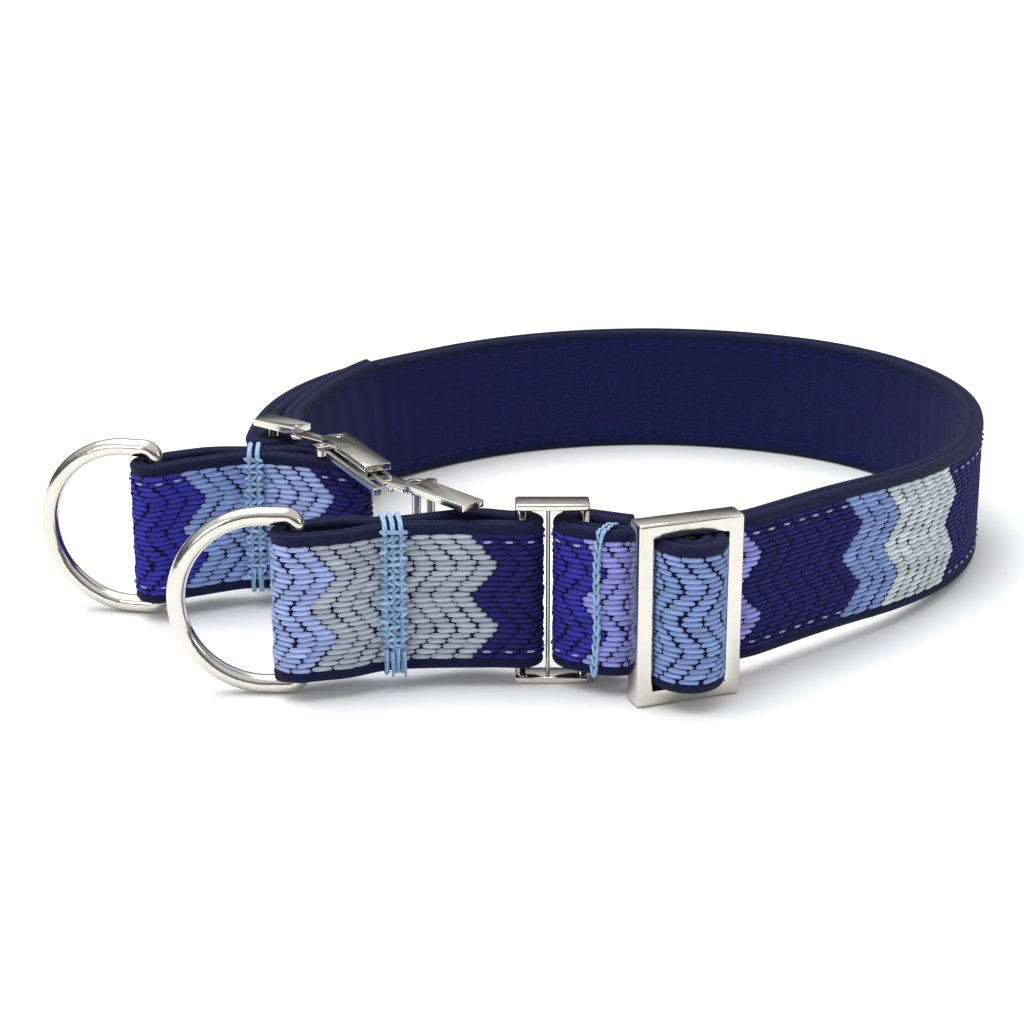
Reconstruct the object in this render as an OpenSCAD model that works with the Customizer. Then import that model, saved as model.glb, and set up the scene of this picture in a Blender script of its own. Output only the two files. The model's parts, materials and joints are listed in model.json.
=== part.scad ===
// Martingale collar: a one-inch strap with two ring tabs, an adjuster slide
// and a hinged metal link chain with a clasp. Millimetres, +Z up.

/* [Strap] */
// Height of every strap, edge to edge
strap_h = 25.4; // [24:0.2:26]
// Thickness of the neck strap
strap_t = 3.8; // [3.4:0.1:4]
// Share of the thickness that is stitched canvas
face_share = 0.5; // [0.4:0.05:0.6]
// Height of the rolled binding along each edge
binding_h = 1.7; // [1.2:0.1:2.2]
// How far the back of the neck strap sags below the hardware
back_drop = 3.3; // [2.5:0.1:3.3]
// Height of the straps above the table at the hardware
strap_z = 3.3; // [3.2:0.1:3.4]

/* [Tabs] */
// Thickness of one layer of a ring tab
tab_t = 2.5; // [2:0.1:2.6]
// Distance between the two bars that the front tab runs round
front_tab_len = 36.6; // [34:0.2:38]
// Distance between the two bars that the rear tab runs round
rear_tab_len = 34; // [32:0.2:35]

/* [Hardware] */
// Height of the metal hardware over its rails
metal_h = 31.6; // [31.6:0.1:32.4]
// Thickness of the rails
rail_t = 1.2; // [1:0.1:1.2]
// Radius of the bars that straps run round
bar_r = 0.9; // [0.7:0.05:0.95]
// Running clearance of a hinge pin
pin_gap = 0.05; // [0.03:0.01:0.08]
// Outer height of a D-ring
ring_h = 32.4; // [32.4:0.2:34]
// Wire diameter of a D-ring
ring_wire = 3.1; // [2.6:0.1:3.1]

/* [Slide] */
// Width of the adjuster slide
slide_w = 18.4; // [18:0.1:19]
// Height of the adjuster slide
slide_h = 31.4; // [31:0.1:31.6]
// Width of each side rail of the slide
slide_rail = 2.8; // [2.4:0.1:2.9]
// Front-to-back depth of the slide
slide_d = 4.4; // [4:0.1:4.5]

/* [Hidden] */
$fn = 40;
mid_z = metal_h / 2;
strap_top = strap_z + strap_h;
rail_z = metal_h - rail_t;
leaf_t = 0.7;
leaf_gap = 0.1;
leaf_z = rail_z - leaf_gap - leaf_t;
eye_gap = 0.3;
hinge_pin_r = 0.7;
// Shift that puts the origin under the middle of the whole collar
shift = [-1.27, 0.66];

// Places of the hinge axes, seen from above
connector_bar = shift + [9.8, -59.4];
connector_left_bar = shift + [-0.6, -59.4];
front_tab_turn = 8.8;
rear_tab_turn = 3;
front_ring_bar = connector_left_bar + front_tab_len * [cos(180 + front_tab_turn), sin(180 + front_tab_turn)];
rear_plate_mid = shift + [-43.5, -15.5];
rear_plate_turn = -38.3;
rear_pin_x = 3.8;
clasp_start = shift + [-33.4, -23.4];
clasp_turn = -63.7;
slide_mid = shift + [26.2, -66.7];
slide_turn = 20.4;

function turned(p, a) = [p.x * cos(a) - p.y * sin(a), p.x * sin(a) + p.y * cos(a)];
function on_clasp(p) = clasp_start + turned(p, clasp_turn);
clasp_pin_at = [1.3, 0.3];
clasp_pin = on_clasp(clasp_pin_at);
clasp_post_at = [5.2, 0.6];
clasp_post_pos = on_clasp(clasp_post_at);
lever_pin_at = [3, -3.7];
tongue_post_at = [30.5, 2.1];
tongue_post_pos = on_clasp(tongue_post_at);
link_post_pos = tongue_post_pos + [2.4, 1];
rear_ring_bar = clasp_post_pos + rear_tab_len * [cos(180 + rear_tab_turn), sin(180 + rear_tab_turn)];

// The neck strap's middle line, as [length, turn] steps from the tail behind
// the slide, round the connector, round the neck and back inside at the rear.
eye_r = bar_r + eye_gap + strap_t / 2;
tail_l = 7;
tail_turn = 158;
front_steps = [[tail_l, 0], [PI * eye_r * 175 / 180, 175], [4.2, 0], [5, 47], [18, 0],
    [6, 20], [26.5, 0], [60, 45], [60, 68], [64, 52], [52, 40], [40, 23], [3, 0]];
rear_steps = [[PI * eye_r, 180], [8, 11.2], [8, -18.8], [25.4, -15.2], [10, -8.1]];
tail_start = connector_bar + eye_r * [cos(tail_turn - 90), sin(tail_turn - 90)]
    - tail_l * [cos(tail_turn), sin(tail_turn)];

// Number of short chords that stand for one step
function chords(step) = step[1] == 0 ? 1 : ceil(max(abs(step[1]) / 9, step[0] / 8));
// Every chord of a list of steps, as [length, turn]
function all_chords(steps) = [for (s = steps) let (n = chords(s)) each
    [for (i = [1:n]) [s[0] / n, s[1] / n]]];
// Points [x, y, heading, distance] reached by walking the chords
function walk(moves, at, i = 0) = i == len(moves) ? [at] :
    let (head = at[2] + moves[i][1] / 2)
    concat([at], walk(moves, [at[0] + moves[i][0] * cos(head), at[1] + moves[i][0] * sin(head),
        at[2] + moves[i][1], at[3] + moves[i][0]], i + 1));
strap_path = walk(all_chords(concat(front_steps, rear_steps)),
    [tail_start.x, tail_start.y, tail_turn, 0]);

// The strap keeps level at the hardware and sinks to the table at the back
level_to = 60;
level_from = 345;
fall = 70;
function ease(t) = let (c = min(1, max(0, t))) c * c * (3 - 2 * c);
function drop(d) = back_drop * min(ease((d - level_to) / fall), ease((level_from - d) / fall));

// A ribbon along the strap path, between two offsets to its outer side
module ribbon(inner, outer, low, high) {
    n = len(strap_path);
    points = [for (p = strap_path) let (side = [sin(p[2]), -cos(p[2])], z = strap_z - drop(p[3])) each
        [for (c = [[inner, low], [outer, low], [outer, high], [inner, high]])
            [p[0] + side.x * c[0], p[1] + side.y * c[0], z + c[1]]]];
    skin = [for (i = [0:n - 2], k = [0:3]) let (a = 4 * i + k, b = 4 * i + (k + 1) % 4)
        each [[a, a + 4, b + 4], [a, b + 4, b]]];
    ends = [[0, 1, 2], [0, 2, 3], [4 * n - 4, 4 * n - 2, 4 * n - 3], [4 * n - 4, 4 * n - 1, 4 * n - 2]];
    polyhedron(points, concat(skin, ends));
}

half_t = strap_t / 2;
seam = strap_t * (0.5 - face_share);

module band_face() {
    color("mediumslateblue") ribbon(seam, half_t, binding_h, strap_h - binding_h);
}

module band_lining() {
    color("midnightblue") ribbon(-half_t, seam, binding_h, strap_h - binding_h);
}

module band_binding() {
    color("darkslateblue") {
        ribbon(-half_t, half_t, 0, binding_h);
        ribbon(-half_t, half_t, strap_h - binding_h, strap_h);
    }
}

// Decorative cord sewn over the loop beside the slide
cord_at = shift + [13.2, -66.3];
cord_r = 0.7;
module chain_stitch_cord() {
    color("lightsteelblue") translate([cord_at.x, cord_at.y, strap_z + 1])
        cylinder(r = cord_r, h = strap_h - 2);
}

// A ring tab in its own frame: the first bar at the origin, the second at -length.
// Each knot is [share of the length, front half width, back half width].
function blend_knots(k, t, c) = let (i = max([for (j = [0:len(k) - 2]) if (t >= k[j][0]) j]))
    let (f = ease((t - k[i][0]) / (k[i + 1][0] - k[i][0]))) k[i][c] * (1 - f) + k[i + 1][c] * f;
knot_count = 22;
function arc(middle, r, from, to) = [for (i = [1:8]) let (a = from + (to - from) * i / 9)
    middle + r * [cos(a), sin(a)]];
module tab_outline(length, bow, knots, inset) {
    last = knots[len(knots) - 1];
    front = [for (i = [0:knot_count]) let (t = i / knot_count)
        [-length * t, 4 * bow * t * (1 - t) - blend_knots(knots, t, 1) + inset]];
    back = [for (i = [knot_count:-1:0]) let (t = i / knot_count)
        [-length * t, 4 * bow * t * (1 - t) + blend_knots(knots, t, 2) - inset]];
    far_end = arc([-length, 0], last[1] - inset, 270, 90);
    near_end = arc([0, 0], knots[0][1] - inset, 90, -90);
    polygon(concat(front, far_end, back, near_end));
}

// A layer of a tab between two insets from its outline
module tab_layer(length, bow, knots, outer, inner, low, high) {
    translate([0, 0, low]) linear_extrude(high - low) difference() {
        tab_outline(length, bow, knots, outer);
        tab_outline(length, bow, knots, inner);
    }
}

tab_end_r = bar_r + eye_gap + tab_t;
ring_end_r = ring_wire / 2 + eye_gap + tab_t;
tab_pinch = tab_t + 0.1;
front_knots = [[0, tab_end_r, tab_end_r], [0.16, 3.4, 5], [0.58, tab_pinch, tab_pinch],
    [0.82, ring_end_r + 0.2, ring_end_r + 0.2], [1, ring_end_r, ring_end_r]];
rear_knots = [[0, tab_end_r, tab_end_r], [0.2, tab_end_r, 4.2], [0.5, tab_pinch, tab_pinch],
    [0.8, 4, 4], [1, ring_end_r, ring_end_r]];
front_bow = 1.6;
rear_bow = 5.2;
tab_face_t = 1.3;

module at_front_tab() {
    translate([connector_left_bar.x, connector_left_bar.y]) rotate(front_tab_turn) children();
}

module at_rear_tab() {
    translate([clasp_post_pos.x, clasp_post_pos.y]) rotate(rear_tab_turn) children();
}

module front_tab_face() {
    color("cornflowerblue") at_front_tab()
        tab_layer(front_tab_len, front_bow, front_knots, 0, tab_face_t,
            strap_z + binding_h, strap_top - binding_h);
}

module front_tab_lining() {
    color("midnightblue") at_front_tab()
        tab_layer(front_tab_len, front_bow, front_knots, tab_face_t, tab_t,
            strap_z + binding_h, strap_top - binding_h);
}

module front_tab_binding() {
    color("darkslateblue") at_front_tab() for (z = [strap_z, strap_top - binding_h])
        tab_layer(front_tab_len, front_bow, front_knots, 0, tab_t, z, z + binding_h);
}

module rear_tab_face() {
    color("slateblue") at_rear_tab()
        tab_layer(rear_tab_len, rear_bow, rear_knots, 0, tab_face_t,
            strap_z + binding_h, strap_top - binding_h);
}

module rear_tab_lining() {
    color("midnightblue") at_rear_tab()
        tab_layer(rear_tab_len, rear_bow, rear_knots, tab_face_t, tab_t,
            strap_z + binding_h, strap_top - binding_h);
}

module rear_tab_binding() {
    color("darkslateblue") at_rear_tab() for (z = [strap_z, strap_top - binding_h])
        tab_layer(rear_tab_len, rear_bow, rear_knots, 0, tab_t, z, z + binding_h);
}

// Floss bound round the middle of a tab, as a thin flat sleeve
floss_t = 0.5;
module floss_sleeve(length, bow, share, width) {
    y = 4 * bow * share * (1 - share);
    reach = tab_pinch + 0.5;
    translate([-length * share - width / 2, y - reach - floss_t, strap_z - floss_t])
        difference() {
            cube([width, 2 * (reach + floss_t), strap_h + 2 * floss_t]);
            translate([-1, floss_t, floss_t]) cube([width + 2, 2 * reach, strap_h]);
        }
}

module front_floss() {
    color("lightblue") at_front_tab() floss_sleeve(front_tab_len, front_bow, 0.58, 3.7);
}

module rear_floss() {
    color("lightblue") at_rear_tab() floss_sleeve(rear_tab_len, rear_bow, 0.5, 3);
}

// D-ring in its own frame: the straight bar on the Z axis, the bow towards -X
ring_r = (ring_h - ring_wire) / 2;
ring_corner = 2;
ring_leg = 3.5;
module d_ring() {
    color("silver") translate([0, 0, ring_h / 2]) {
        translate([0, 0, ring_corner - ring_r]) cylinder(d = ring_wire, h = 2 * (ring_r - ring_corner));
        for (s = [0, 1]) mirror([0, 0, s]) {
            translate([-ring_corner, 0, ring_r - ring_corner]) rotate([90, 0, 0])
                rotate_extrude(angle = 90) translate([ring_corner, 0]) circle(d = ring_wire);
            translate([-ring_corner - ring_leg, 0, ring_r]) rotate([0, 90, 0])
                cylinder(d = ring_wire, h = ring_leg);
        }
        translate([-ring_corner - ring_leg, 0, 0]) rotate([90, 0, 0]) rotate([0, 0, 90])
            rotate_extrude(angle = 180) translate([ring_r, 0]) circle(d = ring_wire);
    }
}

front_ring_turn = -1;
module front_d_ring() {
    translate([front_ring_bar.x, front_ring_bar.y]) rotate(front_ring_turn) d_ring();
}

rear_ring_turn = -11;
module rear_d_ring() {
    translate([rear_ring_bar.x, rear_ring_bar.y]) rotate(rear_ring_turn) d_ring();
}

// Adjuster slide, seen from above with its width along X
module at_slide() {
    translate([slide_mid.x, slide_mid.y]) rotate(slide_turn) children();
}

slide_z = mid_z - slide_h / 2;
slide_bar_r = 1.4;
module slide_frame() {
    color("gainsboro") at_slide() difference() {
        translate([-slide_w / 2, -slide_d / 2, slide_z]) cube([slide_w, slide_d, slide_h]);
        translate([slide_rail - slide_w / 2, -slide_d, slide_z + slide_rail])
            cube([slide_w - 2 * slide_rail, 2 * slide_d, slide_h - 2 * slide_rail]);
    }
}

module slide_bar() {
    color("gainsboro") at_slide() translate([0, 0, slide_z + slide_rail])
        cylinder(r = slide_bar_r, h = slide_h - 2 * slide_rail);
}

// The stretch of strap that arches over the slide's bar, as a half-round shell
bulge_out = [6, 6.4];
bulge_y = -1.1;
bulge_foot = 2.3;
module bulge_shell(outer, inner, low, high) {
    arch = function (i) [for (a = [180:10:360])
        [(bulge_out.x - i) * cos(a), bulge_y + (bulge_out.y - i) * sin(a)]];
    legs = function (i) [[bulge_out.x - i, bulge_foot], [i - bulge_out.x, bulge_foot]];
    inside = function (i) [[bulge_out.x - i, bulge_foot + 1], [i - bulge_out.x, bulge_foot + 1]];
    translate([0, 0, low]) linear_extrude(high - low) difference() {
        polygon(concat(arch(outer), legs(outer)));
        polygon(concat(arch(inner), inside(inner)));
    }
}

bulge_t = 3.6;
bulge_face_t = 1.8;
module bulge_face() {
    color("cornflowerblue") at_slide()
        bulge_shell(0, bulge_face_t, strap_z + binding_h, strap_top - binding_h);
}

module bulge_lining() {
    color("midnightblue") at_slide()
        bulge_shell(bulge_face_t, bulge_t, strap_z + binding_h, strap_top - binding_h);
}

module bulge_binding() {
    color("darkslateblue") at_slide() for (z = [strap_z, strap_top - binding_h])
        bulge_shell(0, bulge_t, z, z + binding_h);
}

// Front connector: two rails joined by two bars and a thin pin between them
connector_w = 12.2;
connector_d = 4.6;
connector_pin_r = 0.35;
connector_x = (connector_bar.x + connector_left_bar.x) / 2;
module front_connector_rails() {
    color("silver") for (z = [0, rail_z])
        translate([connector_x - connector_w / 2, connector_bar.y - connector_d / 2, z])
            cube([connector_w, connector_d, rail_t]);
}

module front_connector_bars() {
    color("silver") for (x = [connector_left_bar.x, connector_bar.x])
        translate([x, connector_bar.y, rail_t]) cylinder(r = bar_r, h = metal_h - 2 * rail_t);
}

connector_pin_x = shift.x + 3.95;
module front_connector_pin() {
    color("silver") translate([connector_pin_x, connector_bar.y, rail_t])
        cylinder(r = connector_pin_r, h = metal_h - 2 * rail_t);
}

// Rear connector: two rails, one bar in the strap's rear eye, two hinge pins
rear_index = len(all_chords(front_steps));
rear_bar = [strap_path[rear_index][0], strap_path[rear_index][1]]
    + eye_r * [cos(strap_path[rear_index][2] + 90), sin(strap_path[rear_index][2] + 90)];
module rear_connector_rails() {
    size = [9.8, 4.6, rail_t];
    color("silver") translate([rear_plate_mid.x, rear_plate_mid.y]) rotate(rear_plate_turn)
        for (z = [0, rail_z]) translate([-size.x / 2, -size.y / 2, z]) difference() {
            cube(size);
            translate([size.x / 2 + rear_pin_x, size.y / 2, -1]) cylinder(r = hinge_pin_r, h = rail_t + 2);
        }
}

module rear_connector_bar() {
    color("silver") translate([rear_bar.x, rear_bar.y, rail_t])
        cylinder(r = bar_r, h = metal_h - 2 * rail_t);
}

// A pin that fills the rail's hole and runs through the leaf under it
pin_head_r = 1.2;
pin_head_t = 0.35;
module leaf_pins(at) {
    stem = rail_t + leaf_gap + leaf_t + leaf_gap / 2;
    color("gainsboro") translate([at.x, at.y, mid_z]) for (s = [0, 1]) mirror([0, 0, s]) {
        translate([0, 0, mid_z - stem]) cylinder(r = hinge_pin_r, h = stem);
        translate([0, 0, mid_z - stem - pin_head_t]) cylinder(r = pin_head_r, h = pin_head_t);
    }
}

rear_pin_at = rear_plate_mid + turned([rear_pin_x, 0], rear_plate_turn);
module knuckle_pins() {
    leaf_pins(rear_pin_at);
}

leaf_r = 1.5;
module hinge_plates() {
    span = clasp_pin - rear_pin_at;
    reach = norm(span);
    color("silver") translate([rear_pin_at.x, rear_pin_at.y, mid_z]) rotate(atan2(span.y, span.x))
        for (s = [0, 1]) mirror([0, 0, s]) translate([0, 0, leaf_z - mid_z]) difference() {
            union() {
                for (x = [0, reach]) translate([x, 0, 0]) cylinder(r = leaf_r, h = leaf_t);
                translate([0, -leaf_r, 0]) cube([reach, 2 * leaf_r, leaf_t]);
            }
            for (x = [0, reach]) translate([x, 0, -1]) cylinder(r = hinge_pin_r + pin_gap, h = leaf_t + 2);
        }
}

// Clasp channel, along X in its own frame: open at its end and on its inner side
module at_clasp() {
    translate([clasp_start.x, clasp_start.y]) rotate(clasp_turn) children();
}

clasp_l = 19.2;
clasp_w = 4.8;
wall = 0.5;
channel_from = 3.6;
channel_z = leaf_z - leaf_gap - wall;
lever_lug = 1.3;
lever_top = rail_z - leaf_gap;
lever_low = channel_z + 0.05;
module clasp_channel() {
    color("silver") at_clasp() difference() {
        union() {
            translate([-0.4, -clasp_w / 2, rail_z]) cube([clasp_l + 0.4, clasp_w, rail_t]);
            translate([channel_from, -clasp_w / 2, channel_z])
                cube([clasp_l - channel_from, wall, rail_z - channel_z]);
            translate([channel_from, -clasp_w / 2, channel_z]) cube([clasp_l - channel_from, clasp_w, wall]);
            translate([channel_from, -clasp_w / 2, channel_z]) cube([4.2, clasp_w, rail_z - channel_z]);
            translate([lever_pin_at.x - lever_lug, lever_pin_at.y - lever_lug, rail_z])
                cube([2 * lever_lug, 2 * lever_lug, rail_t / 2]);
        }
        translate([clasp_pin_at.x, clasp_pin_at.y, rail_z - 1]) cylinder(r = hinge_pin_r, h = rail_t + 2);
        translate([lever_pin_at.x, lever_pin_at.y, rail_z - 1]) cylinder(r = 0.6, h = rail_t + 2);
    }
}

module clasp_foot() {
    color("silver") at_clasp() difference() {
        translate([-0.4, -clasp_w / 2, 0]) cube([8, clasp_w, rail_t]);
        translate([clasp_pin_at.x, clasp_pin_at.y, -1]) cylinder(r = hinge_pin_r, h = rail_t + 2);
    }
}

module clasp_post() {
    color("silver") translate([clasp_post_pos.x, clasp_post_pos.y, rail_t])
        cylinder(r = bar_r, h = channel_z - rail_t);
}

module clasp_pins() {
    leaf_pins(clasp_pin);
}

module lever_rivet() {
    color("gainsboro") at_clasp() translate([lever_pin_at.x, lever_pin_at.y, lever_low])
        cylinder(r = 0.6, h = rail_z + rail_t / 2 - lever_low);
}

lever_tip = 27.6;
module clasp_lever() {
    color("silver") at_clasp() difference() {
        union() {
            translate([lever_pin_at.x, lever_pin_at.y, lever_low]) cylinder(r = 1.15, h = lever_top - lever_low);
            translate([lever_pin_at.x, lever_pin_at.y, lever_low])
                cube([lever_tip - lever_pin_at.x, 0.8, lever_top - lever_low]);
            translate([lever_tip - 0.8, lever_pin_at.y - 0.8, lever_low])
                cube([0.8, 1, lever_top - lever_low]);
        }
        translate([lever_pin_at.x, lever_pin_at.y, 0]) cylinder(r = 0.6 + pin_gap, h = metal_h);
    }
}

// Tongue: a forked plate, its end free in the channel, on a long hinge post
tongue_from = 15.2;
tongue_post_r = 0.75;
fork_end = 24;
module clasp_tongue() {
    body = tongue_post_at - [fork_end, 0.6];
    color("silver") at_clasp() translate([0, 0, leaf_z]) difference() {
        union() {
            translate([tongue_from, 0.5, 0]) cube([fork_end - tongue_from + 1, 0.9, leaf_t]);
            translate([tongue_from + 1.2, -1.5, 0]) cube([fork_end - tongue_from, 0.8, leaf_t]);
            translate([fork_end, 0.6, 0]) rotate(atan2(body.y, body.x)) translate([-0.6, -1.9, 0])
                cube([norm(body) - 0.6, 3.4, leaf_t]);
            translate([tongue_post_at.x, tongue_post_at.y, 0]) cylinder(r = 1.6, h = leaf_t);
        }
        translate([tongue_post_at.x, tongue_post_at.y, -1]) cylinder(r = tongue_post_r, h = 3);
    }
}

module tongue_stud() {
    color("gainsboro") at_clasp() translate([26.3, -0.6, lever_low])
        cylinder(r = 0.6, h = leaf_z - lever_low);
}

module tongue_foot() {
    color("silver") translate([tongue_post_pos.x, tongue_post_pos.y, rail_t + leaf_gap]) difference() {
        cylinder(r = 1.5, h = leaf_t);
        translate([0, 0, -1]) cylinder(r = tongue_post_r, h = 3);
    }
}

module tongue_post() {
    color("silver") translate([tongue_post_pos.x, tongue_post_pos.y, 0])
        cylinder(r = tongue_post_r, h = metal_h);
}

// Front link: two bent rails hung on the tongue's post and tied by a post
link_end = shift + [-8.3, -60.6];
link_w = 4.6;
module front_link_rails() {
    run = link_end - tongue_post_pos;
    post = link_post_pos - tongue_post_pos;
    color("silver") for (rail = [[0, norm(post)], [rail_z, norm(run)]])
        translate([tongue_post_pos.x, tongue_post_pos.y, rail[0]]) linear_extrude(rail_t) difference() {
            union() {
                circle(r = link_w / 2 - 0.4);
                rotate(atan2(run.y, run.x)) translate([0, -link_w / 2]) square([rail[1], link_w]);
                translate(post) circle(r = 1.1);
            }
            circle(r = tongue_post_r + pin_gap);
        }
}

module front_link_post() {
    color("silver") translate([link_post_pos.x, link_post_pos.y, rail_t])
        cylinder(r = 0.7, h = metal_h - 2 * rail_t);
}

band_face();
band_lining();
band_binding();
chain_stitch_cord();
slide_frame();
slide_bar();
bulge_face();
bulge_lining();
bulge_binding();
front_connector_rails();
front_connector_bars();
front_connector_pin();
front_tab_face();
front_tab_lining();
front_tab_binding();
front_floss();
front_d_ring();
rear_connector_rails();
rear_connector_bar();
knuckle_pins();
hinge_plates();
clasp_channel();
clasp_foot();
clasp_post();
clasp_pins();
lever_rivet();
clasp_lever();
rear_tab_face();
rear_tab_lining();
rear_tab_binding();
rear_floss();
rear_d_ring();
clasp_tongue();
tongue_stud();
tongue_foot();
tongue_post();
front_link_rails();
front_link_post();
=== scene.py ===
"""Martingale collar: a needlepoint strap with two ring tabs, an adjuster slide and a hinged link chain."""

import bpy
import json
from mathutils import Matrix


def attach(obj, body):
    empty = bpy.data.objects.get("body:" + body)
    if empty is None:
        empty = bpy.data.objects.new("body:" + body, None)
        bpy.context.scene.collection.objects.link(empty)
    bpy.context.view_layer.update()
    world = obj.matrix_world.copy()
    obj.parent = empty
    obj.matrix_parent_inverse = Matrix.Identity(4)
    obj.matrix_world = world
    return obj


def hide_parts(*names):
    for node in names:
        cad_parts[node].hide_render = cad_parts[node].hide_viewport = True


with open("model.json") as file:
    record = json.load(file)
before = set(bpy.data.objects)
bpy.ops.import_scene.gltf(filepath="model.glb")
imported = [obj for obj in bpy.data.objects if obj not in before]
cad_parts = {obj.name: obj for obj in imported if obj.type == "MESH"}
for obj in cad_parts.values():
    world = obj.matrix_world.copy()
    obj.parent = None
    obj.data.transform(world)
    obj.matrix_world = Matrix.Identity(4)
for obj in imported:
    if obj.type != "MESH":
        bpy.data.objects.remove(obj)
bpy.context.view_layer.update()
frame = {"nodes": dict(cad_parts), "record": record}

import json
import math
import random
from typing import NamedTuple

import bmesh
import bpy
import numpy as np
from bpy.props import FloatProperty, FloatVectorProperty, IntProperty, PointerProperty
from mathutils import Matrix, Vector

bl_info = {
    "name": "Martingale Collar",
    "version": (1, 0, 0),
    "blender": (4, 5, 0),
    "location": "3D View > Sidebar > Collar",
    "description": "Makes the needlepoint martingale collar piece by piece round its fixed frame",
    "category": "Object",
}

MM = 0.001


# ---------------------------------------------------------------- sizes and colours

def millimetres(name, value, note):
    """A length setting in millimetres."""
    return FloatProperty(name=name, description=note, default=value, min=0.01, soft_max=60)


def amount(name, value, note, low=0.0, **limits):
    """A plain number."""
    return FloatProperty(name=name, description=note, default=value, min=low, **limits)


def shade(name, value, note):
    """A colour setting, given as red, green and blue from 0 to 255 on the display."""
    shown = [c / 255 for c in value]
    linear = [c / 12.92 if c <= 0.04045 else ((c + 0.055) / 1.055) ** 2.4 for c in shown]
    return FloatVectorProperty(name=name, description=note, default=linear, subtype="COLOR", size=3,
                               min=0, max=1)


class COLLAR_PG_strap(bpy.types.PropertyGroup):
    """Sizes of the woven and sewn strap."""
    strap_z: millimetres("Strap Height Above Table", 3.3, "Gap under the straps at the hardware")
    strap_h: millimetres("Strap Height", 25.4, "Edge to edge height of every strap")
    strap_t: millimetres("Strap Thickness", 3.8, "Thickness of the neck strap")
    tab_t: millimetres("Tab Thickness", 2.5, "Thickness of one layer of a ring tab")
    bulge_t: millimetres("Arch Thickness", 3.6, "Thickness of the strap that arches over the slide's bar")
    binding_h: millimetres("Binding Height", 1.7, "Height of the rolled binding on each edge")
    back_drop: millimetres("Back Drop", 3.3, "How far the back of the neck strap sags to the table")
    crease: millimetres("Lining Crease", 0.14, "Depth of the soft vertical creases in the lining")
    pleat: millimetres("Pleat Depth", 0.55, "Depth of the slanting pleats on the folded-back end")


class COLLAR_PG_stitch(bpy.types.PropertyGroup):
    """Sizes of the needlepoint stitches."""
    rows: IntProperty(name="Rows", description="Rows of stitches over the strap", default=24, min=8, max=32)
    pitch: millimetres("Stitch Pitch", 3.45, "Distance from one stitch to the next in a row")
    length: millimetres("Stitch Length", 3.6, "Length of one stitch")
    width: millimetres("Stitch Width", 1.02, "Width of one stitch")
    height: millimetres("Stitch Height", 0.66, "How thick one stitch is")
    zigzag: millimetres("Zigzag", 5.0, "How far the tips of the flame pattern stand out")
    spread: amount("Size Variation", 0.07, "Share by which stitches differ", max=0.3)
    seed: IntProperty(name="Seed", description="Fixed seed of the stitch variation", default=7, min=0)


class COLLAR_PG_colour(bpy.types.PropertyGroup):
    """Thread, cloth and metal colours."""
    violet: shade("Blue Violet", (26, 25, 98), "Deep thread of the flame pattern")
    bright: shade("Bright Violet", (52, 50, 162), "Vivid thread on the loop beside the connector")
    periwinkle: shade("Periwinkle", (162, 181, 230), "Middle blue thread")
    lilac: shade("Lilac", (152, 156, 230), "Lilac thread between the cord and the slide")
    silver: shade("Silver", (172, 181, 195), "Silver-grey thread")
    mint: shade("Mint", (212, 224, 229), "Pale green-grey thread")
    steel: shade("Steel Blue", (134, 158, 212), "Grey-blue thread")
    floss: shade("Floss", (156, 190, 228), "Light blue floss")
    canvas: shade("Canvas", (14, 18, 54), "Canvas under the stitches")
    lining: shade("Lining", (9, 18, 70), "Cloth on the inside")
    binding: shade("Binding", (11, 17, 54), "Rolled edge binding")
    nickel: shade("Nickel", (222, 218, 208), "Polished metal")


class COLLAR_PG_stage(bpy.types.PropertyGroup):
    """Camera and light."""
    place: FloatVectorProperty(name="Camera Place", description="Where the camera stands, in metres",
                               default=(-0.00327, -0.43684, 0.162), subtype="XYZ", unit="LENGTH", size=3)
    tilt: amount("Camera Tilt", math.radians(70.7), "Camera pitch from straight down", subtype="ANGLE",
                 max=math.pi)
    lens: amount("Lens", 86.1, "Focal length in millimetres", 20, max=200)
    sky: amount("Surround Light", 0.8, "Strength of the pale surround")
    key: amount("Key Light", 1.9, "Power of the nearer soft lights")
    sun: amount("Overhead Light", 1.75, "Strength of the wide light from above")


# ---------------------------------------------------------------- nodes and shader wires

def new_node(tree, kind, settings, inputs):
    """One node: its settings first, then each socket's value or the socket that feeds it."""
    node = tree.nodes.new(kind)
    for key, value in settings.items():
        setattr(node, key, value)
    for key, value in inputs.items():
        if isinstance(value, bpy.types.NodeSocket):
            tree.links.new(value, node.inputs[key])
        else:
            node.inputs[key].default_value = value
    return node


class Wire:
    """A node socket that can stand in a sum: every operation adds one Math node."""

    def __init__(self, recipe, socket):
        self.recipe, self.socket = recipe, socket

    def math(self, operation, *others):
        """The wire of a Math node that starts from this wire."""
        return self.recipe.add("ShaderNodeMath", {"operation": operation}, dict(enumerate((self, *others))))

    def __add__(self, other):
        return self.math("ADD", other)

    def __mul__(self, other):
        return self.math("MULTIPLY", other)

    def sine(self):
        return self.math("SINE")


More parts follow.
